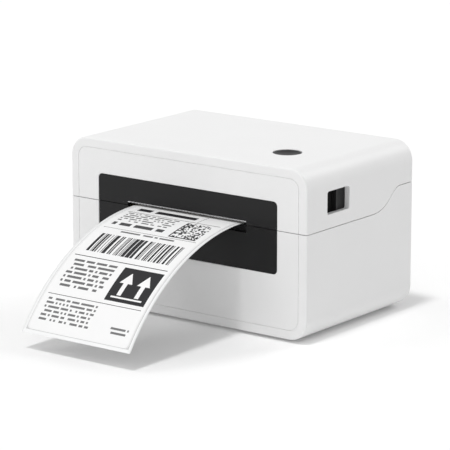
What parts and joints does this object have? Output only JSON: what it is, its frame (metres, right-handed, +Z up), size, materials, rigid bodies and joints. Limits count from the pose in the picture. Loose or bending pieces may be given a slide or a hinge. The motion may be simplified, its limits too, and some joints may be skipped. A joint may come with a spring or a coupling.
{
  "type": "thermal label printer",
  "caption": "Desktop thermal label printer: rounded white two-part case with a hinged lid, black front panel with a label slot, round feed button, side latches and a curling printed label.",
  "frame": {"origin": "on the desk, at the centre of the footprint of printer and hanging label", "axes": "+X to the printer's right as seen from its front, +Y from the front to the back, +Z up"},
  "size_m": [0.22, 0.266, 0.1293],
  "materials": {
    "case_white": "fine matte moulded plastic",
    "panel_black": "semi-gloss black plastic",
    "latch_black": "matte black plastic",
    "button_grey": "satin dark grey plastic",
    "frame_black": "matte black plastic",
    "steel": "plain steel",
    "aluminium": "extruded",
    "head_ceramic": "glazed",
    "platen_black": "ground rubber",
    "foot_rubber": "matte rubber",
    "bush_brass": "sintered bronze",
    "gear_white": "acetal",
    "guide_grey": "matte grey plastic",
    "board_green": "coated board",
    "liner_paper": "release liner",
    "label_paper": "coated label paper"
  },
  "bodies": {
    "base": {"base_shell": "case_white", "lower_bezel": "panel_black", "media_deck": "frame_black", "gear_plate": "steel", "bearing_plate": "steel", "platen_bushes": "bush_brass", "drive_motor": "steel", "motor_screws": "steel", "idler_pin": "steel", "idler_clip": "steel", "bracket_screws": "steel", "case_screws": "steel", "main_board": "board_green", "board_screws": "steel", "power_socket": "frame_black", "usb_socket": "steel", "switch_body": "frame_black", "foot_front_left": "foot_rubber", "foot_front_right": "foot_rubber", "foot_rear_left": "foot_rubber", "foot_rear_right": "foot_rubber", "hinge_pins": "steel", "gap_sensor": "frame_black", "guide_screw": "steel", "label_liner": "liner_paper", "printed_label": "label_paper"},
    "lid": {"top_cover": "case_white", "upper_bezel": "panel_black", "tear_bar": "steel", "cover_frame": "frame_black", "frame_screws": "steel", "latch_housing_left": "latch_black", "latch_housing_right": "latch_black", "latch_spring_left": "steel", "latch_spring_right": "steel", "button_board": "board_green", "button_switch": "frame_black", "button_screws": "steel", "head_spring_left": "steel", "head_spring_right": "steel"},
    "head": {"print_head": "head_ceramic", "head_sink": "aluminium", "head_pivot": "steel"},
    "button": {"feed_button": "button_grey", "switch_plunger": "frame_black"},
    "left_slider": {"latch_left": "latch_black"},
    "right_slider": {"latch_right": "latch_black"},
    "platen": {"platen_shaft": "steel", "platen_rubber": "platen_black", "platen_gear": "gear_white", "shaft_clip": "steel"},
    "idler": {"idler_gear": "gear_white"},
    "motor_drive": {"motor_shaft": "steel", "motor_pinion": "gear_white"},
    "left_fence": {"guide_left": "guide_grey"},
    "right_fence": {"guide_right": "guide_grey"},
    "fence_gear": {"guide_pinion": "gear_white"},
    "rocker": {"switch_rocker": "frame_black"}
  },
  "joints": [
    {"name": "lid_hinge", "type": "hinge", "parent": "base", "child": "lid", "pos_m": [0, 0.12958, 0.10185], "axis": [-1, 0, 0], "range_deg": [0, 80]},
    {"name": "head_float", "type": "hinge", "parent": "lid", "child": "head", "pos_m": [0, 0.03248, 0.09084], "axis": [-1, 0, 0], "range_deg": [0, 2], "stiffness_Nm_per_rad": 2, "deforming": ["head_spring_left", "head_spring_right"]},
    {"name": "button_press", "type": "slide", "parent": "lid", "child": "button", "axis": [0, 0, -1], "range_m": [0, 0.0012], "stiffness_N_per_m": 300},
    {"name": "left_latch_slide", "type": "slide", "parent": "lid", "child": "left_slider", "axis": [0, -1, 0], "range_m": [0, 0.008], "stiffness_N_per_m": 150, "deforming": ["latch_spring_left"]},
    {"name": "right_latch_slide", "type": "slide", "parent": "lid", "child": "right_slider", "axis": [0, -1, 0], "range_m": [0, 0.008], "stiffness_N_per_m": 150, "deforming": ["latch_spring_right"]},
    {"name": "platen_spin", "type": "hinge", "parent": "base", "child": "platen", "pos_m": [0, 0.00838, 0.07508], "axis": [1, 0, 0], "continuous": true},
    {"name": "idler_spin", "type": "hinge", "parent": "base", "child": "idler", "pos_m": [-0.073, 0.01716, 0.06462], "axis": [1, 0, 0], "continuous": true},
    {"name": "motor_spin", "type": "hinge", "parent": "base", "child": "motor_drive", "pos_m": [-0.073, 0.02194, 0.04678], "axis": [1, 0, 0], "continuous": true},
    {"name": "left_guide_slide", "type": "slide", "parent": "base", "child": "left_fence", "axis": [-1, 0, 0], "range_m": [-0.028, 0.006]},
    {"name": "right_guide_slide", "type": "slide", "parent": "base", "child": "right_fence", "axis": [1, 0, 0], "range_m": [-0.028, 0.006]},
    {"name": "guide_gear_turn", "type": "hinge", "parent": "base", "child": "fence_gear", "pos_m": [0, 0.07998, 0.076], "axis": [0, 0, 1], "range_deg": [-43.2, 200.7]},
    {"name": "switch_tilt", "type": "hinge", "parent": "base", "child": "rocker", "pos_m": [0.07, 0.12598, 0.023], "axis": [0, 0, 1], "range_deg": [-7, 7]}
  ],
  "couplings": [
    {"joint": "idler_spin", "follows": "platen_spin", "ratio": -1.4286},
    {"joint": "motor_spin", "follows": "platen_spin", "ratio": 3.2653},
    {"joint": "right_guide_slide", "follows": "left_guide_slide", "ratio": 1},
    {"joint": "guide_gear_turn", "follows": "left_guide_slide", "rad_per_m": -125}
  ]
}
